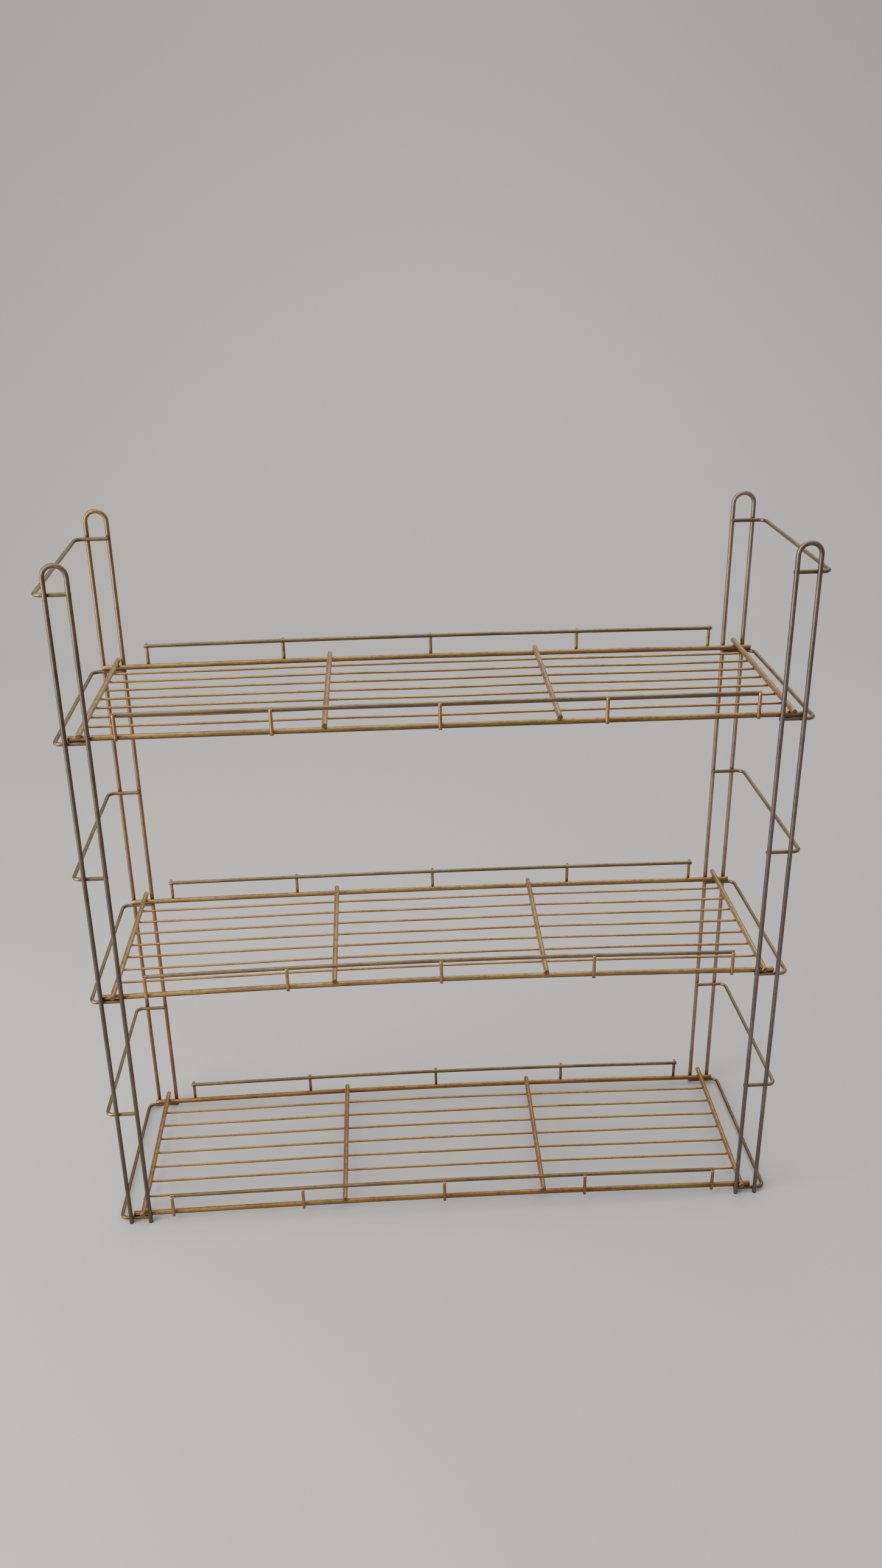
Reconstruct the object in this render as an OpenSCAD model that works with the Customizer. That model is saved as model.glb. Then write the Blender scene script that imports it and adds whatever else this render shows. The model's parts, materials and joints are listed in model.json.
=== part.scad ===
// Free-standing wire rack: two side frames and three lift-out trays.
// +X runs along the trays, +Y from front to back, +Z up. The origin is on the
// floor, in the middle of the rack.

/* [Side frames] */
// Distance between the outer legs of the left and right frames
frame_span = 600; // [400:10:900]
// Overall height, from the floor to the top of the arches
frame_h = 652; // [648:1:720]
// Distance between the front and the rear hairpins
frame_depth = 178; // [150:1:240]
// Wire thickness of the hairpins
leg_d = 4; // [3:0.5:5]
// Distance between the two legs of a hairpin
leg_gap = 18.5; // [16:0.5:24]

/* [Rungs] */
// Wire thickness of the rungs
rung_d = 3.5; // [3:0.5:4]
// Height of the lowest rung
first_rung_z = 3.5; // [3:0.5:10]
// Height from one rung to the next
rung_pitch = 124.5; // [110:0.5:125]
// How far a rung stands outside the outer legs
rung_reach = 10; // [8:0.5:12]
// Bend radius of a rung's corners
rung_bend_r = 6; // [4:0.5:7]
// Length of a rung's ends past the inner legs
rung_tail = 0.3; // [0:0.1:3]

/* [Trays] */
// Thickness of the wires that carry a tray
rod_d = 4.8; // [4:0.1:5]
// How far a tray's front rod reaches past the outer legs
front_rod_reach = 1; // [0:0.5:4]
// How far a tray's rear rod reaches past the outer legs
rear_rod_reach = 4; // [0:0.5:5]
// How far the end rods stand out in front of and behind the hairpins
end_rod_reach = 4; // [3:0.5:8]
// How far the cross rods stand out past the front and rear rods
cross_rod_reach = 3; // [2.5:0.5:6]
// Distance of the two cross rods from the middle of the tray
cross_rod_x = 96.7; // [60:0.1:120]
// How far the top tray is pushed to the right, within its play between the legs
top_tray_shift = 3; // [-3:0.5:3]
// Number of slats in a tray
slat_count = 7; // [4:1:9]
// Wire thickness of the slats
slat_d = 2.2; // [1.8:0.1:3]

/* [Guard rails] */
// Length of a guard rail
rail_len = 528; // [528:1:540]
// Wire thickness of the rails
rail_d = 3.5; // [3:0.1:4]
// Height of a rail above the tray rod under it
rail_rise = 19.6; // [15:0.1:30]
// Wire thickness of the posts
post_d = 3.2; // [2.5:0.1:4]
// Distance of the inner posts from the middle of the tray
inner_post_x = 136.7; // [100:0.1:180]
// Distance of the outer posts from the middle of the tray
outer_post_x = 262; // [200:0.1:262]

/* [Fits] */
// Clearance between a tray and the side frames
fit_gap = 0.3; // [0.2:0.1:0.6]
// Depth that two welded wires sink into each other
weld_sink = 0.15; // [0.1:0.01:0.2]

/* [Hidden] */
$fn = 48;
sides = ["left", "right"];
trays = ["bottom", "middle", "top"];
ends = ["front", "rear"];
crossings = ["left_end_rod", "left_cross_rod", "right_cross_rod", "right_end_rod"];
rung_count = 6;
tray_step = 2;

// Side frames
outer_leg_x = frame_span / 2;
inner_leg_x = outer_leg_x - leg_gap;
leg_y = frame_depth / 2;
arch_r = leg_gap / 2;
leg_h = frame_h - leg_d / 2 - arch_r;

// Rungs, on the inner faces of the hairpins
rung_x = outer_leg_x + rung_reach;
rung_y = leg_y - leg_d / 2 - rung_d / 2 + weld_sink;

// Trays, resting on every second rung
rod_y = leg_y - leg_d / 2 - fit_gap - rod_d / 2;
rod_rise = rung_d / 2 + fit_gap + rod_d / 2;
cross_rise = rod_d - weld_sink;
slat_rise = cross_rise - rod_d / 2 - slat_d / 2 + weld_sink;
end_rod_x = outer_leg_x - leg_gap / 2;
end_rod_len = frame_depth + 2 * end_rod_reach;
cross_rod_len = 2 * (rod_y + cross_rod_reach);
slat_len = 2 * end_rod_x;
tray_shifts = [0, 0, top_tray_shift];
slat_pitch = 2 * rod_y / (slat_count + 1);

// Guard rails, welded to the inside of their posts
post_y = rod_y + rod_d / 2 + post_d / 2 - weld_sink;
rail_y = post_y - post_d / 2 - rail_d / 2 + weld_sink;
post_drop = 1.9;
post_len = post_drop + rail_rise + 1.6;
post_xs = [-outer_post_x, -inner_post_x, 0, inner_post_x, outer_post_x];

// Colours of the aged brass wire
leg_colour = "#9c8357";
rung_colour = "#a3875a";
tray_colour = "#b08d4f";
slat_colour = "#c39a55";

function side(i) = i == 0 ? -1 : 1;
function rung_z(k) = first_rung_z + (k - 1) * rung_pitch;
function tray_z(t) = rung_z(1 + t * tray_step) + rod_rise;

// A straight wire along +X, +Y or +Z, centred on its own middle
module wire_x(len, d) {
    rotate([0, 90, 0]) cylinder(d = d, h = len, center = true);
}

module wire_y(len, d) {
    rotate([90, 0, 0]) cylinder(d = d, h = len, center = true);
}

// A bend of wire about +Z, from the direction of +X round by the angle
module bend(r, d, angle) {
    rotate_extrude(angle = angle) translate([r, 0]) circle(d = d);
}

// One wire bent into a tall, narrow arch that stands on its two cut ends
module hairpin(sx, sy) {
    color(leg_colour)
    translate([sx * end_rod_x, sy * leg_y, 0]) {
        for (x = [-arch_r, arch_r])
            translate([x, 0, 0]) cylinder(d = leg_d, h = leg_h);
        translate([0, 0, leg_h]) rotate([90, 0, 0]) bend(arch_r, leg_d, 180);
    }
}

// The straight end of a rung, from its corner to its cut end past the inner leg
module rung_end() {
    end_x = inner_leg_x - leg_d / 2 - rung_tail;
    len = rung_x - rung_bend_r - end_x;
    translate([end_x + len / 2, 0, 0]) wire_x(len, rung_d);
}

// One wire bent into a bracket round the outside of both hairpins
module rung(sx, k) {
    bend_x = rung_x - rung_bend_r;
    bend_y = rung_y - rung_bend_r;
    color(rung_colour)
    translate([0, 0, rung_z(k)]) mirror([sx < 0 ? 1 : 0, 0, 0]) {
        translate([0, -rung_y, 0]) rung_end();
        translate([0, rung_y, 0]) rung_end();
        translate([bend_x, bend_y, 0]) bend(rung_bend_r, rung_d, 90);
        translate([bend_x, -bend_y, 0]) rotate(-90) bend(rung_bend_r, rung_d, 90);
        translate([rung_x, 0, 0]) wire_y(2 * bend_y, rung_d);
    }
}

// Where a tray sits: its middle, at the height of its front and rear rods
module tray_place(t) {
    translate([tray_shifts[t], 0, tray_z(t)]) children();
}

// The thick wire along the front or the back of a tray
module tray_rod(t, sy) {
    reach = sy < 0 ? front_rod_reach : rear_rod_reach;
    color(tray_colour)
    tray_place(t) translate([0, sy * rod_y, 0]) wire_x(frame_span + 2 * reach, rod_d);
}

// A thick wire laid across the front and rear rods
module crossing(t, x, len) {
    color(tray_colour)
    tray_place(t) translate([x, 0, cross_rise]) wire_y(len, rod_d);
}

// The thin wires of a tray, side by side under its crossings
module slats(t) {
    color(slat_colour)
    tray_place(t)
    for (i = [1:slat_count])
        translate([0, -rod_y + i * slat_pitch, slat_rise]) wire_x(slat_len, slat_d);
}

// The wire that keeps goods on the tray
module rail(t, sy) {
    color(slat_colour)
    tray_place(t) translate([0, sy * rail_y, rail_rise]) wire_x(rail_len, rail_d);
}

// The five short wires that hold a rail over its rod
module posts(t, sy) {
    color(slat_colour)
    tray_place(t)
    for (x = post_xs)
        translate([x, sy * post_y, -post_drop]) cylinder(d = post_d, h = post_len);
}

for (i = [0, 1], j = [0, 1])
    hairpin(side(i), side(j));
for (i = [0, 1], k = [1:rung_count])
    rung(side(i), k);
for (t = [0:2], j = [0, 1])
    tray_rod(t, side(j));
for (t = [0:2], i = [0, 3])
    crossing(t, i == 0 ? -end_rod_x : end_rod_x, end_rod_len);
for (t = [0:2], i = [1, 2])
    crossing(t, i == 1 ? -cross_rod_x : cross_rod_x, cross_rod_len);
for (t = [0:2])
    slats(t);
for (t = [0:2], j = [0, 1])
    rail(t, side(j));
for (t = [0:2], j = [0, 1])
    posts(t, side(j));
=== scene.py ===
import bpy
import bmesh
import json
import random
from math import acos, atan2, cos, exp, pi, radians, sin, sqrt
from mathutils import Matrix, Vector, noise
from mathutils.kdtree import KDTree


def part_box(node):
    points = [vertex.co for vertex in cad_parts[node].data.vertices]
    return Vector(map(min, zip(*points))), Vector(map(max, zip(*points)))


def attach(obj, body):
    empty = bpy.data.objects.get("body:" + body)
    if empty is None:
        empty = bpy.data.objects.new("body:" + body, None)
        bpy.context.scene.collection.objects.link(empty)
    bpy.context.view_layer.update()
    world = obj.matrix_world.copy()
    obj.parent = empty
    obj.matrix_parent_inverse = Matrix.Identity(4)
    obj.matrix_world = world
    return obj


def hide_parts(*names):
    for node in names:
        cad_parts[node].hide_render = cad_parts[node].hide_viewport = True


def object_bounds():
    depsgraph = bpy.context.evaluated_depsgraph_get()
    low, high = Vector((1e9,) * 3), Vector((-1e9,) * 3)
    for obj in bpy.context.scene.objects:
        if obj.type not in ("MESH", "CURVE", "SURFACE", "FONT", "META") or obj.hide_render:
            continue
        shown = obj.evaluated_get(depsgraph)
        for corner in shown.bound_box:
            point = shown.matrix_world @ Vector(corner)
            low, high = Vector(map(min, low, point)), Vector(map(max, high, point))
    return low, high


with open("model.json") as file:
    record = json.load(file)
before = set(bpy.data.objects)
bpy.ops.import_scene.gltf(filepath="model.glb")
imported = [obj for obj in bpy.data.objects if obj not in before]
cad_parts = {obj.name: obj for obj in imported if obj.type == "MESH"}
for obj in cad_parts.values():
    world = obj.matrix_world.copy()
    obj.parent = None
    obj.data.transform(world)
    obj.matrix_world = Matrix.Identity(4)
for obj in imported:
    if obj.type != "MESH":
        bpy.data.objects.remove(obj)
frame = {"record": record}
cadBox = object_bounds()
bodies = frame["record"]["behaviour"]["bodies"]
bodyOf = {node: body for body, nodes in bodies.items() for node in nodes}
boxOf = {node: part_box(node) for node in bodyOf}
xAxis = Vector((1, 0, 0))
yAxis = Vector((0, 1, 0))
zAxis = Vector((0, 0, 1))

# camera, floor and light

cameraSetup = {
    "place": (-0.0407, -1.0738, 0.9137),
    "turn": (65.065, 0.949, -2.960),  # degrees
    "lens": 30.09,
}


def makeCamera(setup):
    data = bpy.data.cameras.new("camera")
    data.lens = setup["lens"]
    data.clip_end = 50
    camera = bpy.data.objects.new("camera", data)
    camera.location = setup["place"]
    camera.rotation_euler = [radians(turn) for turn in setup["turn"]]
    bpy.context.scene.collection.objects.link(camera)
    bpy.context.scene.camera = camera


studio = {
    "halfWidth": 7,
    "frontEdge": -6,
    "wallFoot": 1.5,
    "sweep": 1.3,  # radius of the curve from floor to wall
    "sweepSteps": 24,
    "wallTop": 5,
    "floorColour": (0.64, 0.625, 0.60, 1),
    "floorRoughness": 0.65,
    "skyColour": (0.97, 0.98, 1.0, 1),
    "skyLow": 0.22,  # brightness low down behind the camera
    "skyHigh": 0.62,  # brightness overhead
    "skyTurn": 0.6,  # how much of the change runs from front to back
    "skyBand": (-0.5, 0.8),  # where the change starts and ends
}
lights = {
    "key": {
        "place": (-1.5, -0.9, 0.5),
        "size": (1.4, 0.9),
        "power": 26,
        "colour": (1.0, 0.97, 0.93),
    },
    "shoulder": {
        "place": (-1.5, -0.9, 1.9),
        "size": (1.0, 1.0),
        "power": 14,
        "colour": (1.0, 0.98, 0.96),
    },
    "top": {
        "place": (-0.3, 0.4, 3.3),
        "size": (3.6, 2.4),
        "power": 34,
        "colour": (1.0, 0.99, 0.97),
    },
    "back": {
        "place": (0.9, 1.9, 2.4),
        "size": (2.0, 1.0),
        "power": 14,
        "colour": (0.94, 0.97, 1.0),
    },
}


def newEnds(made):
    # the vertices and the leading edges that an extrusion made
    verts = {item for item in made["geom"] if isinstance(item, bmesh.types.BMVert)}
    edges = [item for item in made["geom"] if isinstance(item, bmesh.types.BMEdge)]
    return list(verts), [edge for edge in edges if verts.issuperset(edge.verts)]


def makeFloor(look):
    bm = bmesh.new()
    corners = [bm.verts.new((side * look["halfWidth"], look["frontEdge"], 0)) for side in (-1, 1)]
    verts, edges = newEnds(bmesh.ops.extrude_edge_only(bm, edges=[bm.edges.new(corners)]))
    bmesh.ops.translate(bm, verts=verts, vec=(0, look["wallFoot"] - look["frontEdge"], 0))
    curveCentre = (0, look["wallFoot"], look["sweep"])
    swept = bmesh.ops.spin(
        bm, geom=edges, cent=curveCentre, axis=xAxis, angle=pi / 2, steps=look["sweepSteps"]
    )
    edges = [item for item in swept["geom_last"] if isinstance(item, bmesh.types.BMEdge)]
    verts, edges = newEnds(bmesh.ops.extrude_edge_only(bm, edges=edges))
    bmesh.ops.translate(bm, verts=verts, vec=(0, 0, look["wallTop"]))
    bmesh.ops.recalc_face_normals(bm, faces=bm.faces)
    mesh = bpy.data.meshes.new("studioFloor")
    bm.to_mesh(mesh)
    bm.free()
    mesh.shade_smooth()
    paint = bpy.data.materials.new("studioFloor")
    paint.use_nodes = True
    shader = paint.node_tree.nodes["Principled BSDF"]
    shader.inputs["Base Color"].default_value = look["floorColour"]
    shader.inputs["Roughness"].default_value = look["floorRoughness"]
    mesh.materials.append(paint)
    floor = bpy.data.objects.new("studioFloor", mesh)
    bpy.context.scene.collection.objects.link(floor)


def makeSky(look):
    sky = bpy.data.worlds.new("studioSky")
    bpy.context.scene.world = sky
    sky.use_nodes = True
    tree = sky.node_tree
    way = tree.nodes.new("ShaderNodeSeparateXYZ")
    tree.links.new(tree.nodes.new("ShaderNodeTexCoord").outputs["Generated"], way.inputs["Vector"])
    height = tree.nodes.new("ShaderNodeMath")
    height.operation = "MULTIPLY_ADD"
    height.inputs[1].default_value = look["skyTurn"]
    tree.links.new(way.outputs["Y"], height.inputs[0])
    tree.links.new(way.outputs["Z"], height.inputs[2])
    brightness = tree.nodes.new("ShaderNodeMapRange")
    brightness.interpolation_type = "SMOOTHSTEP"
    brightness.inputs["From Min"].default_value = look["skyBand"][0]
    brightness.inputs["From Max"].default_value = look["skyBand"][1]
    brightness.inputs["To Min"].default_value = look["skyLow"]
    brightness.inputs["To Max"].default_value = look["skyHigh"]
    tree.links.new(height.outputs["Value"], brightness.inputs["Value"])
    back = tree.nodes["Background"]
    back.inputs["Color"].default_value = look["skyColour"]
    tree.links.new(brightness.outputs["Result"], back.inputs["Strength"])


def makeLight(name, look):
    data = bpy.data.lights.new(name, "AREA")
    data.shape = "RECTANGLE"
    data.size, data.size_y = look["size"]
    data.energy = look["power"]
    data.color = look["colour"]
    lamp = bpy.data.objects.new(name, data)
    lamp.location = look["place"]
    aim = (cadBox[0] + cadBox[1]) / 2 - lamp.location
    lamp.rotation_euler = aim.to_track_quat("-Z", "Y").to_euler()
    lamp.visible_camera = False
    bpy.context.scene.collection.objects.link(lamp)


makeCamera(cameraSetup)
makeFloor(studio)
makeSky(studio)
for lightName, lightLook in lights.items():
    makeLight(lightName, lightLook)
print("camera, floor and lights made")

# finishes


def addNode(tree, kind, **settings):
    node = tree.nodes.new(kind)
    for name, value in settings.items():
        setattr(node, name, value)
    return node


def addNoise(tree, vector, scale, detail=2.0, roughness=0.5):
    node = addNode(tree, "ShaderNodeTexNoise")
    node.inputs["Scale"].default_value = scale
    node.inputs["Detail"].default_value = detail
    node.inputs["Roughness"].default_value = roughness
    tree.links.new(vector, node.inputs["Vector"])
    return node.outputs["Fac"]


def addRange(tree, value, low, high, toLow=0.0, toHigh=1.0):
    node = addNode(tree, "ShaderNodeMapRange", interpolation_type="SMOOTHSTEP")
    tree.links.new(value, node.inputs["Value"])
    for name, number in (("From Min", low), ("From Max", high), ("To Min", toLow), ("To Max", toHigh)):
        node.inputs[name].default_value = number
    return node.outputs["Result"]


def addMath(tree, operation, first, second):
    node = addNode(tree, "ShaderNodeMath", operation=operation)
    for socket, value in zip(node.inputs, (first, second)):
        if isinstance(value, (int, float)):
            socket.default_value = value
        else:
            tree.links.new(value, socket)
    return node.outputs["Value"]


def addMix(tree, amount, first, second):
    node = addNode(tree, "ShaderNodeMix", data_type="RGBA")
    tree.links.new(amount, node.inputs["Factor"])
    for socket, colour in ((node.inputs[6], first), (node.inputs[7], second)):
        if isinstance(colour, tuple):
            socket.default_value = (*colour, 1)
        else:
            tree.links.new(colour, socket)
    return node.outputs[2]


# each finish's under colour is the dark tone of the painted shade on the wires' under sides, and also of
# the mottle and drawing marks
brassLooks = {
    "left_front_hairpin": {
        "gold": (0.200, 0.160, 0.115),
        "deepGold": (0.140, 0.110, 0.080),
        "under": (0.085, 0.066, 0.050),
        "roughness": 0.42,
        "dust": 0.25,
        "lowShadeTint": (1, 1, 1),
        # painted highlight: the arch top is lightened and yellowed
        "topHighlightTint": (1.55, 1.42, 0.95),
    },
    "right_front_hairpin": {
        "gold": (0.265, 0.210, 0.195),
        "deepGold": (0.190, 0.150, 0.138),
        "under": (0.105, 0.080, 0.072),
        "roughness": 0.42,
        "dust": 0.25,
        "lowShadeTint": (1, 1, 1),
        # painted highlight: the arch top is lightened
        "topHighlightTint": (1.25, 1.18, 1.0),
    },
    "left_rear_hairpin": {
        "gold": (0.42, 0.262, 0.105),
        "deepGold": (0.32, 0.190, 0.078),
        "under": (0.19, 0.110, 0.055),
        "roughness": 0.38,
        "dust": 0.25,
        "lowShadeTint": (1, 1, 1),
        "topHighlightTint": (1, 1, 1),
    },
    "right_rear_hairpin": {
        "gold": (0.49, 0.365, 0.250),
        "deepGold": (0.36, 0.265, 0.175),
        "under": (0.20, 0.145, 0.098),
        "roughness": 0.38,
        "dust": 0.25,
        "lowShadeTint": (1, 1, 1),
        "topHighlightTint": (1, 1, 1),
    },
    "rung": {
        "gold": (0.37, 0.262, 0.130),
        "deepGold": (0.26, 0.180, 0.090),
        "under": (0.105, 0.068, 0.042),
        "roughness": 0.36,
        "dust": 0.25,
        "lowShadeTint": (0.82, 0.68, 0.52),
        "topHighlightTint": (1, 1, 1),
    },
    "rod": {
        "gold": (0.56, 0.366, 0.128),
        "deepGold": (0.43, 0.266, 0.092),
        "under": (0.088, 0.048, 0.027),
        "roughness": 0.36,
        "dust": 0.15,
        "lowShadeTint": (0.76, 0.62, 0.48),
        "topHighlightTint": (1, 1, 1),
    },
    "crossing": {
        "gold": (0.62, 0.420, 0.185),
        "deepGold": (0.50, 0.325, 0.140),
        "under": (0.13, 0.078, 0.045),
        "roughness": 0.40,
        "dust": 0.15,
        "lowShadeTint": (0.84, 0.74, 0.62),
        "topHighlightTint": (1, 1, 1),
    },
    "slats": {
        "gold": (0.69, 0.425, 0.140),
        "deepGold": (0.54, 0.310, 0.100),
        "under": (0.115, 0.058, 0.028),
        "roughness": 0.34,
        "dust": 0.1,
        "lowShadeTint": (0.85, 0.72, 0.56),
        "topHighlightTint": (1, 1, 1),
    },
    "rail": {
        "gold": (0.35, 0.258, 0.132),
        "deepGold": (0.26, 0.188, 0.096),
        "under": (0.090, 0.062, 0.044),
        "roughness": 0.38,
        "dust": 0.15,
        "lowShadeTint": (0.85, 0.78, 0.70),
        "topHighlightTint": (1, 1, 1),
    },
    "posts": {
        "gold": (0.64, 0.420, 0.170),
        "deepGold": (0.44, 0.265, 0.105),
        "under": (0.15, 0.080, 0.042),
        # painted highlight: the posts' cut ends are painted pale gold
        "cutRim": (0.80, 0.62, 0.36),
        "roughness": 0.30,
        "dust": 0.1,
        "lowShadeTint": (0.85, 0.76, 0.64),
        "topHighlightTint": (1, 1, 1),
    },
}
wearLook = {
    "burnt": (0.050, 0.030, 0.026),
    "scorched": (0.085, 0.042, 0.030),
    "cutRim": (0.23, 0.168, 0.105),  # of a cut end, where a finish has none of its own
    "cutCore": (0.145, 0.100, 0.066),
    "dust": (0.235, 0.205, 0.145),
    "lowShadeBand": (0.16, 0.04),  # heights between which the painted shade on the lowest parts and the painted highlight on the highest parts set in
    "topHighlightBand": (0.54, 0.62),
    "drawnScale": (1600, 1600, 30),  # fine across the wire and long along it
    "blotchScale": 22,
    "mottleScale": 190,
    "speckScale": 1100,
    "blotchBand": (0.40, 0.62),  # noise values between which each mark sets in
    "mottleBand": (0.44, 0.72),
    "drawnBand": (0.52, 0.78),
    "speckBand": (0.66, 0.74),
    "mottled": 0.42,  # how much of each mark shows, from 0 to 1
    "drawn": 0.4,
    "specked": 0.3,
    "paintedShadeBand": (0.38, -0.32),  # how far a spot faces up, from its own colour to the full painted shade
    "paintedShadeRagged": 0.12,
    "paintedShadeStrength": 0.92,
    "dustBand": (0.3, 0.95),
    "dustPatches": (0.3, 0.65),
    "dustLeast": 0.45,  # share of the dust that is left between the patches
    "heatBand": (0.18, 0.8),
    "heatRagged": 0.25,
    "heated": 0.9,
    "rimBand": (0.0, 0.45),
    "coreBand": (0.55, 0.95),
    "roughBand": (0.3, 0.75),
    "smoother": -0.03,  # roughness on the brightest spots, against the finish's own
    "rougher": 0.1,
    "heatRougher": 0.14,
    "dustRougher": 0.3,
    "cutRougher": 0.2,
    "dustMetallic": 0.45,
    "bump": 0.12,
    "bumpHeight": 0.0002,
    "lacquer": 0.15,
    "lacquerRoughness": 0.25,
}
noiseSpan = (0.3, 0.7)  # where most of a noise lies


def makeBrass(name, look):
    material = bpy.data.materials.new(name)
    material.use_nodes = True
    tree = material.node_tree
    shader = tree.nodes["Principled BSDF"]
    place = addNode(tree, "ShaderNodeTexCoord").outputs["Object"]
    alongWire = addNode(tree, "ShaderNodeAttribute", attribute_name="wirePlace").outputs["Vector"]
    heat = addNode(tree, "ShaderNodeAttribute", attribute_name="heat").outputs["Fac"]
    cutFace = addNode(tree, "ShaderNodeAttribute", attribute_name="cutFace").outputs["Fac"]

    # drawing marks run along the wire, so their pattern is stretched along it
    stretch = addNode(tree, "ShaderNodeMapping")
    stretch.inputs["Scale"].default_value = wearLook["drawnScale"]
    tree.links.new(alongWire, stretch.inputs["Vector"])
    drawn = addNoise(tree, stretch.outputs["Vector"], 1.0, 3.0, 0.6)

    blotch = addNoise(tree, place, wearLook["blotchScale"], 3.0, 0.55)
    mottle = addNoise(tree, place, wearLook["mottleScale"], 3.0, 0.6)
    specks = addNoise(tree, place, wearLook["speckScale"])

    blotchMask = addRange(tree, blotch, *wearLook["blotchBand"])
    colour = addMix(tree, blotchMask, look["gold"], look["deepGold"])
    mottleMask = addRange(tree, mottle, *wearLook["mottleBand"], 0.0, wearLook["mottled"])
    colour = addMix(tree, mottleMask, colour, look["under"])
    drawnMask = addRange(tree, drawn, *wearLook["drawnBand"], 0.0, wearLook["drawn"])
    colour = addMix(tree, drawnMask, colour, look["under"])

    # painted shade darkens and warms the lowest parts, and a painted highlight lightens the highest parts
    spot = addNode(tree, "ShaderNodeSeparateXYZ")
    tree.links.new(place, spot.inputs["Vector"])
    for band, tint in (("lowShadeBand", "lowShadeTint"), ("topHighlightBand", "topHighlightTint")):
        tinted = addNode(tree, "ShaderNodeMix", data_type="RGBA", blend_type="MULTIPLY")
        tree.links.new(addRange(tree, spot.outputs["Z"], *wearLook[band]), tinted.inputs["Factor"])
        tree.links.new(colour, tinted.inputs[6])
        tinted.inputs[7].default_value = (*look[tint], 1)
        colour = tinted.outputs[2]
    speckMask = addRange(tree, specks, *wearLook["speckBand"], 0.0, wearLook["specked"])
    colour = addMix(tree, speckMask, colour, wearLook["burnt"])

    # painted shade: the under side of each wire is darkened towards the under colour, and the upper side
    # is dusty
    normal = addNode(tree, "ShaderNodeNewGeometry").outputs["Normal"]
    facing = addNode(tree, "ShaderNodeSeparateXYZ")
    tree.links.new(normal, facing.inputs["Vector"])
    ragged = addRange(tree, mottle, *noiseSpan, -wearLook["paintedShadeRagged"], wearLook["paintedShadeRagged"])
    edge = addMath(tree, "ADD", facing.outputs["Z"], ragged)
    paintedShadeMask = addRange(tree, edge, *wearLook["paintedShadeBand"], 0.0, wearLook["paintedShadeStrength"])
    colour = addMix(tree, paintedShadeMask, colour, look["under"])
    dusty = addRange(tree, facing.outputs["Z"], *wearLook["dustBand"])
    patches = addRange(tree, blotch, *wearLook["dustPatches"], wearLook["dustLeast"], 1.0)
    dustMask = addMath(tree, "MULTIPLY", addMath(tree, "MULTIPLY", dusty, look["dust"]), patches)
    colour = addMix(tree, dustMask, colour, wearLook["dust"])

    # heat from the welds turned the lacquer brown in a ragged ring
    ragged = addRange(tree, mottle, *noiseSpan, -wearLook["heatRagged"], wearLook["heatRagged"])
    heated = addMath(tree, "ADD", heat, ragged)
    heatMask = addRange(tree, heated, *wearLook["heatBand"], 0.0, wearLook["heated"])
    colour = addMix(tree, heatMask, colour, wearLook["scorched"])

    # a cut end is lighter at its rim and duller in its middle
    # the posts' own pale rim colour is a painted highlight at their cut ends
    cutRim = look.get("cutRim", wearLook["cutRim"])
    colour = addMix(tree, addRange(tree, cutFace, *wearLook["rimBand"]), colour, cutRim)
    coreMask = addRange(tree, cutFace, *wearLook["coreBand"])
    colour = addMix(tree, coreMask, colour, wearLook["cutCore"])
    tree.links.new(colour, shader.inputs["Base Color"])

    smoothest = look["roughness"] + wearLook["smoother"]
    roughest = look["roughness"] + wearLook["rougher"]
    rough = addRange(tree, mottle, *wearLook["roughBand"], smoothest, roughest)
    for mask, more in ((heat, "heatRougher"), (dustMask, "dustRougher"), (cutFace, "cutRougher")):
        rough = addMath(tree, "ADD", rough, addMath(tree, "MULTIPLY", mask, wearLook[more]))
    tree.links.new(rough, shader.inputs["Roughness"])
    metallic = addRange(tree, dustMask, 0.0, 1.0, 1.0, wearLook["dustMetallic"])
    tree.links.new(metallic, shader.inputs["Metallic"])

    bump = addNode(tree, "ShaderNodeBump")
    bump.inputs["Strength"].default_value = wearLook["bump"]
    bump.inputs["Distance"].default_value = wearLook["bumpHeight"]
    tree.links.new(addMath(tree, "ADD", drawn, mottle), bump.inputs["Height"])
    tree.links.new(bump.outputs["Normal"], shader.inputs["Normal"])
    shader.inputs["Coat Weight"].default_value = wearLook["lacquer"]
    shader.inputs["Coat Roughness"].default_value = wearLook["lacquerRoughness"]
    return material


weldMetalLook = {
    "burnt": wearLook["burnt"],
    "flash": (0.40, 0.28, 0.14),
    "splashScale": 600,
    "splashBand": (0.42, 0.60),  # noise values from burnt to flash
    "burntRoughness": 0.55,
    "flashRoughness": 0.3,
    "bump": 0.4,
    "bumpHeight": 0.0003,
}


def makeWeldMetal(name, look):
    material = bpy.data.materials.new(name)
    material.use_nodes = True
    tree = material.node_tree
    shader = tree.nodes["Principled BSDF"]
    place = addNode(tree, "ShaderNodeTexCoord").outputs["Object"]
    splash = addNoise(tree, place, look["splashScale"], 3.0, 0.6)
    colour = addMix(tree, addRange(tree, splash, *look["splashBand"]), look["burnt"], look["flash"])
    tree.links.new(colour, shader.inputs["Base Color"])
    rough = addRange(tree, splash, *noiseSpan, look["burntRoughness"], look["flashRoughness"])
    tree.links.new(rough, shader.inputs["Roughness"])
    shader.inputs["Metallic"].default_value = 1.0
    bump = addNode(tree, "ShaderNodeBump")
    bump.inputs["Strength"].default_value = look["bump"]
    bump.inputs["Distance"].default_value = look["bumpHeight"]
    tree.links.new(splash, bump.inputs["Height"])
    tree.links.new(bump.outputs["Normal"], shader.inputs["Normal"])
    return material


brass = {name: makeBrass(name + "_brass", look) for name, look in brassLooks.items()}
weldMetal = makeWeldMetal("weld_metal", weldMetalLook)
print("finishes made")

# welds: where two wires of one body cross


def middle(node):
    low, high = boxOf[node]
    return (low + high) / 2


def spread(node):
    low, high = boxOf[node]
    return high - low


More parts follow.
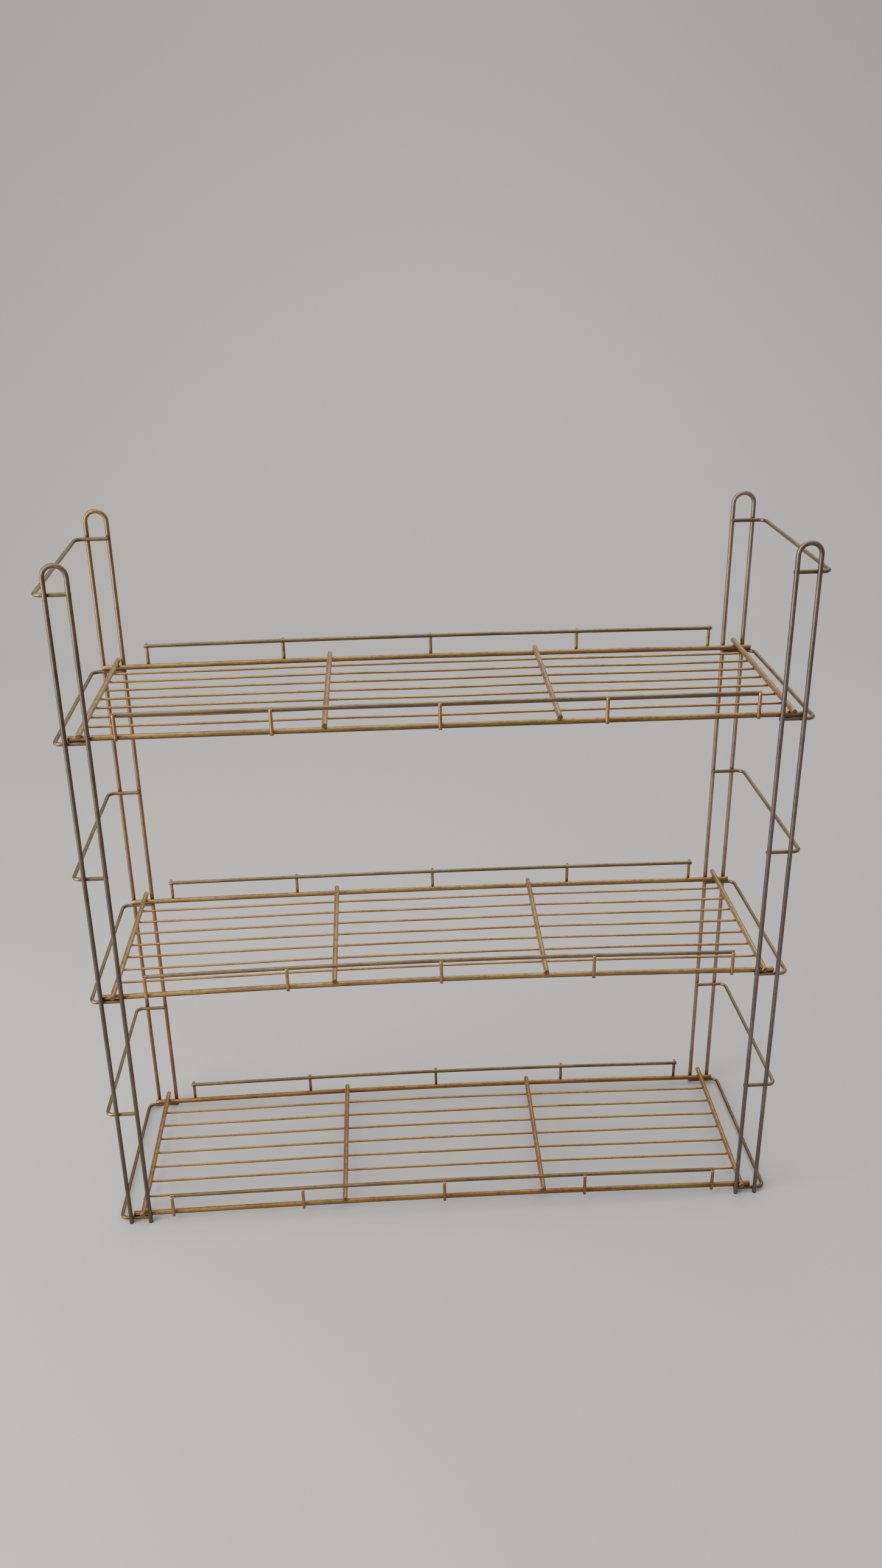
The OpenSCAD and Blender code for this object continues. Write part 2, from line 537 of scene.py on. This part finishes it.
def kindOf(node):
    return node.split("_")[1] if "rung" in node else node.split("_")[-1]


def sideOf(value):
    return 1 if value > 0 else -1


def weldAt(place, lowerRadius, upperRadius, normal):
    # the lower wire of a weld always runs along X, and the upper one lies across it
    return {
        "place": Vector(place),
        "lowerRadius": lowerRadius,
        "upperRadius": upperRadius,
        "normal": normal,
    }


def legCentres(node):
    low, high = boxOf[node]
    radius = (high.y - low.y) / 2
    return [Vector((x, (low.y + high.y) / 2, low.z)) for x in (low.x + radius, high.x - radius)]


def rungWelds(side):
    found = {}
    for end in ("front", "rear"):
        hairpin = f"{side}_{end}_hairpin"
        legRadius = spread(hairpin).y / 2
        for rung in (n for n in bodyOf if n.startswith(f"{side}_rung")):
            rungRadius = spread(rung).z / 2
            for leg in legCentres(hairpin):
                outwards = yAxis * sideOf(leg.y)
                place = Vector((leg.x, leg.y, middle(rung).z)) - outwards * legRadius
                found.setdefault(rung, []).append(weldAt(place, rungRadius, legRadius, outwards))
    return found


postLook = {
    "innerPost": 0.1367,  # from the middle of the tray
    "sides": 18,
}
slatLook = {
    "count": 7,
    "sides": 14,
    "bow": 0.0005,  # most that a slat sags or strays between two welds
    "mostUp": 0.3,  # share of that by which it may bow up
}


def postPlaces(node):
    low, high = boxOf[node]
    radius = (high.y - low.y) / 2
    centre = (low.x + high.x) / 2
    inner = postLook["innerPost"]
    xs = (low.x + radius, centre - inner, centre, centre + inner, high.x - radius)
    return [Vector((x, (low.y + high.y) / 2, low.z)) for x in xs]


def slatPlaces(node):
    low, high = boxOf[node]
    radius = (high.z - low.z) / 2
    pitch = (high.y - low.y - 2 * radius) / (slatLook["count"] - 1)
    return [Vector((low.x, low.y + radius + i * pitch, low.z + radius)) for i in range(slatLook["count"])]


def trayWelds(tray):
    found = {}
    slats = f"{tray}_slats"
    crossings = [f"{tray}_{side}_{kind}_rod" for side in ("left", "right") for kind in ("end", "cross")]
    for crossing in crossings:
        crossRadius = spread(crossing).x / 2
        under = boxOf[crossing][0].z
        x = middle(crossing).x
        for end in ("front", "rear"):
            rod = f"{tray}_{end}_rod"
            place = (x, middle(rod).y, under)
            found.setdefault(crossing, []).append(
                weldAt(place, spread(rod).z / 2, crossRadius, zAxis)
            )
        for slat in slatPlaces(slats):
            found.setdefault(slats, []).append(
                weldAt((x, slat.y, under), spread(slats).z / 2, crossRadius, zAxis)
            )
    for end in ("front", "rear"):
        posts = f"{tray}_{end}_posts"
        for carried in (f"{tray}_{end}_rod", f"{tray}_{end}_rail"):
            for post in postPlaces(posts):
                outwards = yAxis * sideOf(post.y)
                postRadius = spread(posts).y / 2
                place = (post.x, post.y - outwards.y * postRadius, middle(carried).z)
                found.setdefault(posts, []).append(
                    weldAt(place, spread(carried).z / 2, postRadius, outwards)
                )
    return found


weldsOn = {**rungWelds("left"), **rungWelds("right")}
for trayName in ("bottom", "middle", "top"):
    weldsOn.update(trayWelds(trayName))
weldPlaces = {body: [] for body in bodies}
for weldedNode, nodeWelds in weldsOn.items():
    weldPlaces[bodyOf[weldedNode]] += [weld["place"] for weld in nodeWelds]
weldTrees = {}
for bodyName, places in weldPlaces.items():
    weldTrees[bodyName] = KDTree(len(places))
    for i, weldPlace in enumerate(places):
        weldTrees[bodyName].insert(weldPlace, i)
    weldTrees[bodyName].balance()
print("welds placed:", sum(len(places) for places in weldPlaces.values()))

# wires

wireLook = {
    "sides": 24,
    "step": 0.006,  # ring spacing away from the welds
    "leastStep": 0.0008,
    "nearWeld": (0.0012, 0.0025, 0.0042, 0.0065, 0.0095),  # ring distances beside a weld
    "weldReach": 1.3,  # radii within which a weld counts as on the wire
    "mergeWithin": 0.000005,
    "edgeRound": 0.00035,  # rolled edge of a sheared end
    # rings of a sheared end: how far on in edge rounds, share of the radius, how raw
    "shearRings": ((0.7, 0.95, 0.25), (0.3, 0.82, 0.55), (0.0, 0.66, 1.0), (0.0, 0.35, 1.0)),
    "slant": 0.10,  # slope of a sheared end
    "burr": 0.0002,
    "burrOut": 0.35,
    "burrOn": 0.15,
    "burrNarrow": 6,  # higher is narrower
    "wander": 0.00005,  # how far the wire strays from true
    "wanderScale": 55,
    "wanderSeed": 5,
    "heatNear": 0.0018,
    "heatFar": 0.0085,
    "heatEven": 0.7,  # strength of the heat tint round a usual weld
    "heatUneven": 0.4,  # how much that differs from weld to weld
    "heatScale": 300,
}

noise.seed_set(wireLook["wanderSeed"])  # the wander would differ from run to run without it


def newBmesh():
    bm = bmesh.new()
    bm.verts.layers.float_vector.new("wirePlace")
    bm.verts.layers.float.new("heat")
    bm.verts.layers.float.new("cutFace")
    return bm


def joinTo(bm, part):
    mesh = bpy.data.meshes.new("joined")
    part.to_mesh(mesh)
    part.free()
    bm.from_mesh(mesh)
    bpy.data.meshes.remove(mesh)


class Wire:
    def __init__(self, place, heading, across, thickness, body, sides=wireLook["sides"]):
        self.bm = newBmesh()
        self.tip = Vector(place)
        self.heading = heading
        self.across = across
        self.radius = thickness / 2
        self.body = body
        self.sides = sides
        self.fed = 0.0
        self.start = (self.tip, -heading, across)

    def ring(self, place, heading, across):
        part = newBmesh()
        turn = Matrix((across, heading.cross(across), heading)).transposed()
        matrix = Matrix.Translation(place) @ turn.to_4x4()
        bmesh.ops.create_circle(part, segments=self.sides, radius=self.radius, matrix=matrix)
        onWire = part.verts.layers.float_vector["wirePlace"]
        for v in part.verts:
            v[onWire] = turn.transposed() @ (v.co - place) + Vector((0, 0, self.fed))
        return part

    def stops(self, length):
        # rings lie close together beside a weld and evenly elsewhere
        wanted = {i * wireLook["step"] for i in range(1, int(length / wireLook["step"]) + 1)}
        for weld in weldPlaces[self.body]:
            offset = weld - self.tip
            reached = offset.dot(self.heading)
            if (offset - self.heading * reached).length < self.radius * wireLook["weldReach"]:
                wanted |= {reached + way * gap for gap in wireLook["nearWeld"] for way in (-1, 1)}
        least = wireLook["leastStep"]
        kept = [0.0]
        for stop in sorted(stop for stop in wanted if 0 < stop < length - least):
            if stop - kept[-1] > least:
                kept.append(stop)
        return kept + [length]

    def feed(self, length):
        part = self.ring(self.tip, self.heading, self.across)
        verts, edges = newEnds(bmesh.ops.extrude_edge_only(part, edges=part.edges))
        bmesh.ops.translate(part, verts=verts, vec=self.heading * length)
        stops = self.stops(length)
        lengthwise = [edge for edge in part.edges if edge.calc_length() > length / 2]
        bmesh.ops.subdivide_edges(part, edges=lengthwise, cuts=len(stops) - 2)
        onWire = part.verts.layers.float_vector["wirePlace"]
        for v in part.verts:
            reached = (v.co - self.tip).dot(self.heading)
            stop = stops[round(reached / length * (len(stops) - 1))]
            v.co += self.heading * (stop - reached)
            v[onWire].z = self.fed + stop
        joinTo(self.bm, part)
        self.tip = self.tip + self.heading * length
        self.fed += length

    def bend(self, centre, axis, angle, steps):
        part = self.ring(self.tip, self.heading, self.across)
        bmesh.ops.spin(part, geom=part.edges[:], cent=centre, axis=axis, angle=angle, steps=steps)
        arm = self.tip - centre
        onWire = part.verts.layers.float_vector["wirePlace"]
        for v in part.verts:
            spoke = v.co - centre
            turned = atan2(axis.dot(arm.cross(spoke)), arm.dot(spoke))
            if turned < -0.1:
                turned += 2 * pi  # the far end of a half turn
            v[onWire].z = self.fed + turned * arm.length
        joinTo(self.bm, part)
        turn = Matrix.Rotation(angle, 3, axis)
        self.tip = centre + turn @ arm
        self.heading = turn @ self.heading
        self.across = turn @ self.across
        self.fed += abs(angle) * arm.length

    def shear(self, place, heading, across, luck):
        # a cut end: a rolled edge, a face that slopes back a little and a burr on its long side
        part = self.ring(place, heading, across)
        cutFace = part.verts.layers.float["cutFace"]
        lean = Matrix.Rotation(luck.uniform(0, 2 * pi), 3, heading) @ across
        edges = part.edges[:]
        centre = place
        rims = []
        for forward, inwards, raw in wireLook["shearRings"]:
            rim, edges = newEnds(bmesh.ops.extrude_edge_only(part, edges=edges))
            centre = centre + heading * wireLook["edgeRound"] * forward
            for v in rim:
                arm = v.co - centre
                arm -= heading * arm.dot(heading)
                v.co = centre + arm.normalized() * self.radius * inwards
                v[cutFace] = raw
            rims.append(rim)
        bmesh.ops.holes_fill(part, edges=edges, sides=0)
        for rim in rims:
            for v in rim:
                side = (v.co - centre).dot(lean) / self.radius
                v.co -= heading * wireLook["slant"] * self.radius * (1 - side) / 2
        burr = (lean * wireLook["burrOut"] + heading * wireLook["burrOn"]) * wireLook["burr"]
        for v in rims[0] + rims[1]:
            v.co += burr * max(0.0, (v.co - centre).dot(lean) / self.radius) ** wireLook["burrNarrow"]
        joinTo(self.bm, part)

    def cutOff(self, luck):
        self.shear(self.tip, self.heading, self.across, luck)
        self.shear(*self.start, luck)
        bmesh.ops.remove_doubles(self.bm, verts=self.bm.verts, dist=wireLook["mergeWithin"])
        return self.bm


beadLook = {
    "size": 0.78,  # of the thinner wire's radius
    "sizes": (0.92, 1.08),  # smallest and largest bead against a usual one
    "segments": 18,
    "reach": (0.0, 0.45, 0.85, 1.1, 0.88),  # from the middle of the weld to its hollow rim
    "ragged": 0.16,
    "raggedScale": 1.7,
    "sink": 0.00004,  # how far the inside of a bead stands into either wire
}


def makeBead(weld, luck):
    # metal squeezed out of a weld fills the crease between the two wires
    bm = newBmesh()
    thinner = min(weld["lowerRadius"], weld["upperRadius"])
    size = beadLook["size"] * thinner * luck.uniform(*beadLook["sizes"])
    seed = Vector([luck.uniform(0, 50) for _ in range(3)])
    normal = weld["normal"]
    beside = normal.cross(xAxis)
    heat = bm.verts.layers.float["heat"]
    onWire = bm.verts.layers.float_vector["wirePlace"]
    levels = 2 * (len(beadLook["reach"]) - 1)
    ball = bmesh.ops.create_uvsphere(
        bm, u_segments=beadLook["segments"], v_segments=levels, radius=1
    )
    for v in ball["verts"]:
        level = round(acos(max(-1, min(1, v.co.z))) * levels / pi)
        level = min(level, levels - level)
        flat = Vector((v.co.x, v.co.y, 0)).normalized() if level else Vector()
        ragged = 1 + beadLook["ragged"] * noise.noise(flat * beadLook["raggedScale"] + seed)
        spot = flat * size * beadLook["reach"][level] * ragged
        upper = weld["upperRadius"] - sqrt(weld["upperRadius"] ** 2 - spot.x**2)
        lower = weld["lowerRadius"] - sqrt(weld["lowerRadius"] ** 2 - spot.y**2)
        height = (upper - lower) / 2
        if level < levels / 2:
            height = upper + beadLook["sink"] if v.co.z > 0 else -lower - beadLook["sink"]
        v.co = weld["place"] + xAxis * spot.x + beside * spot.y + normal * height
        v[heat] = 1.0
        v[onWire] = v.co
    for face in bm.faces:
        face.material_index = 1
    return bm


def warmUp(bm, body):
    # how near each spot is to a weld, with some welds burnt more than others
    heat = bm.verts.layers.float["heat"]
    near = wireLook["heatNear"]
    far = wireLook["heatFar"]
    for v in bm.verts:
        place, _, distance = weldTrees[body].find(v.co)
        uneven = noise.noise(place * wireLook["heatScale"])
        strength = wireLook["heatEven"] + wireLook["heatUneven"] * uneven
        warm = min(max((far - distance) / (far - near), 0.0), 1.0)
        v[heat] = max(v[heat], warm * warm * (3 - 2 * warm) * strength)


# how far each hairpin leans to the right at its feet and at its top
hairpinLean = {
    "left_front": (-0.0042, 0.0015),
    "left_rear": (-0.0020, 0.0),
    "right_front": (0.0037, 0.0030),
    "right_rear": (-0.0018, -0.0025),
}
settled = 0.00041  # the trays have sunk onto their rungs
# how far each tray has slid to the right, and the rise of its arch at the front and at the rear
trayBend = {
    "bottom_tray": {"slide": -0.001, "arch": (0.0028, 0.0038)},
    "middle_tray": {"slide": 0.0, "arch": (0.0045, 0.0018)},
    "top_tray": {"slide": 0.0, "arch": (0.0003, 0.0015)},
}
# how far to the right of true a crossing is welded, at the front and at the rear
crossingStray = {
    "bottom_right_cross_rod": (0.0, 0.0020),
    "bottom_right_end_rod": (0.0, -0.0010),
    "middle_left_end_rod": (0.0, 0.0020),
    "middle_left_cross_rod": (0.0015, 0.0),
    "middle_right_cross_rod": (-0.0025, 0.0),
    "middle_right_end_rod": (0.0, -0.0035),
    "top_left_end_rod": (-0.0005, 0.0007),
    "top_left_cross_rod": (0.0026, 0.0029),
    "top_right_cross_rod": (0.0013, 0.0008),
    "top_right_end_rod": (-0.0009, -0.0040),
}
strayReach = 0.02  # how far along the tray its slats and rods follow a strayed crossing
rackDepth = middle("left_rear_hairpin").y - middle("left_front_hairpin").y
rackHeight = boxOf["left_front_hairpin"][1].z
innerLeg = legCentres("right_front_hairpin")[0].x


def mix(ends, amount):
    return ends[0] + (ends[1] - ends[0]) * amount


def outOfTrue(place, body):
    depth = place.y / rackDepth + 0.5
    if body == "side_frames":
        side = "right" if place.x > 0 else "left"
        leans = [mix(hairpinLean[f"{side}_{end}"], place.z / rackHeight) for end in ("front", "rear")]
        return Vector((mix(leans, depth), 0, 0))
    bend = trayBend[body]
    slide = bend["slide"]
    for crossing, ends in crossingStray.items():
        if bodyOf[crossing] == body:
            slide += mix(ends, depth) * exp(-(((place.x - middle(crossing).x) / strayReach) ** 2))
    arch = mix(bend["arch"], depth) * cos(pi / 2 * min(1, abs(place.x / innerLeg)))
    return Vector((slide, 0, arch - settled))


def stray(bm, body):
    # drawn wire is never quite true, and welded wires stray together
    for v in bm.verts:
        wander = noise.noise_vector(v.co * wireLook["wanderScale"]) * wireLook["wander"]
        v.co += outOfTrue(v.co, body) + wander


def luckOf(node):
    return random.Random(sum(ord(letter) * (i + 2) for i, letter in enumerate(node)))


def finishOf(node):
    if node.endswith(("_end_rod", "_cross_rod")):
        return "crossing"
    kind = kindOf(node)
    return node if kind == "hairpin" else kind


def finishPiece(bm, node):
    luck = luckOf(node)
    for weld in weldsOn.get(node, []):
        joinTo(bm, makeBead(weld, luck))
    warmUp(bm, bodyOf[node])
    stray(bm, bodyOf[node])
    bmesh.ops.recalc_face_normals(bm, faces=bm.faces)
    mesh = bpy.data.meshes.new(node + "_wire")
    bm.to_mesh(mesh)
    bm.free()
    mesh.shade_smooth()
    mesh.materials.append(brass[finishOf(node)])
    mesh.materials.append(weldMetal)
    piece = bpy.data.objects.new(node + "_wire", mesh)
    bpy.context.scene.collection.objects.link(piece)
    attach(piece, bodyOf[node])
    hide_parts(node)


hairpinLook = {"archSteps": 36}


def makeHairpin(node):
    low, high = boxOf[node]
    thickness = high.y - low.y
    leftLeg, rightLeg = legCentres(node)
    archRadius = (rightLeg.x - leftLeg.x) / 2
    crown = Vector(((low.x + high.x) / 2, leftLeg.y, high.z - thickness / 2 - archRadius))
    edge = wireLook["edgeRound"]
    wire = Wire(leftLeg + zAxis * edge, zAxis, xAxis, thickness, bodyOf[node])
    wire.feed(crown.z - low.z - edge)
    wire.bend(crown, yAxis, pi, hairpinLook["archSteps"])
    wire.feed(crown.z - low.z - edge)
    finishPiece(wire.cutOff(luckOf(node)), node)


rungLook = {
    "bendRadius": 0.006,
    "bendSteps": 14,
    # how far a rung's ends stop short, on the left (-1) and on the right (1)
    "frontShorter": {-1: 0.0012, 1: 0.0011},
    "rearShorter": {-1: 0.0017, 1: 0.0008},
}


def makeRung(node):
    low, high = boxOf[node]
    side = sideOf(low.x)
    thickness = high.z - low.z
    radius = thickness / 2
    inner, outer = (low.x, high.x - radius) if side > 0 else (high.x, low.x + radius)
    bendRadius = rungLook["bendRadius"]
    edge = wireLook["edgeRound"]
    front = low.y + radius
    rear = high.y - radius
    height = (low.z + high.z) / 2
    bendX = outer - side * bendRadius
    start = Vector((inner + side * (edge + rungLook["frontShorter"][side]), front, height))
    wire = Wire(start, xAxis * side, zAxis, thickness, bodyOf[node])
    wire.feed(abs(bendX - start.x))
    wire.bend(Vector((bendX, front + bendRadius, height)), zAxis * side, pi / 2, rungLook["bendSteps"])
    wire.feed(rear - front - 2 * bendRadius)
    wire.bend(Vector((bendX, rear - bendRadius, height)), zAxis * side, pi / 2, rungLook["bendSteps"])
    wire.feed(abs(bendX - inner) - edge - rungLook["rearShorter"][side])
    finishPiece(wire.cutOff(luckOf(node)), node)


def makeStraight(node):
    low, high = boxOf[node]
    heading = xAxis if high.x - low.x > high.y - low.y else yAxis
    length = (high - low).dot(heading)
    edge = wireLook["edgeRound"]
    start = middle(node) - heading * (length / 2 - edge)
    wire = Wire(start, heading, zAxis, high.z - low.z, bodyOf[node])
    wire.feed(length - 2 * edge)
    finishPiece(wire.cutOff(luckOf(node)), node)


def makeSlats(node):
    low, high = boxOf[node]
    luck = luckOf(node)
    fixed = sorted({round(weld["place"].x, 5) for weld in weldsOn[node]})
    edge = wireLook["edgeRound"]
    bm = newBmesh()
    for place in slatPlaces(node):
        start = place + xAxis * edge
        wire = Wire(start, xAxis, zAxis, high.z - low.z, bodyOf[node], slatLook["sides"])
        wire.feed(high.x - low.x - 2 * edge)
        slat = wire.cutOff(luck)
        for first, last in zip(fixed, fixed[1:]):
            bow = Vector((0, luck.uniform(-1, 1), luck.uniform(-1, slatLook["mostUp"]))) * slatLook["bow"]
            for v in slat.verts:
                if first < v.co.x < last:
                    v.co += bow * sin(pi * (v.co.x - first) / (last - first)) ** 2
        joinTo(bm, slat)
    finishPiece(bm, node)


def makePosts(node):
    low, high = boxOf[node]
    luck = luckOf(node)
    edge = wireLook["edgeRound"]
    bm = newBmesh()
    for place in postPlaces(node):
        start = place + zAxis * edge
        wire = Wire(start, zAxis, xAxis, high.y - low.y, bodyOf[node], postLook["sides"])
        wire.feed(high.z - low.z - 2 * edge)
        joinTo(bm, wire.cutOff(luck))
    finishPiece(bm, node)


makers = {
    "hairpin": makeHairpin,
    "rung": makeRung,
    "rod": makeStraight,
    "rail": makeStraight,
    "slats": makeSlats,
    "posts": makePosts,
}
for nodeName in bodyOf:
    makers[kindOf(nodeName)](nodeName)
print("wires made:", len(bodyOf))
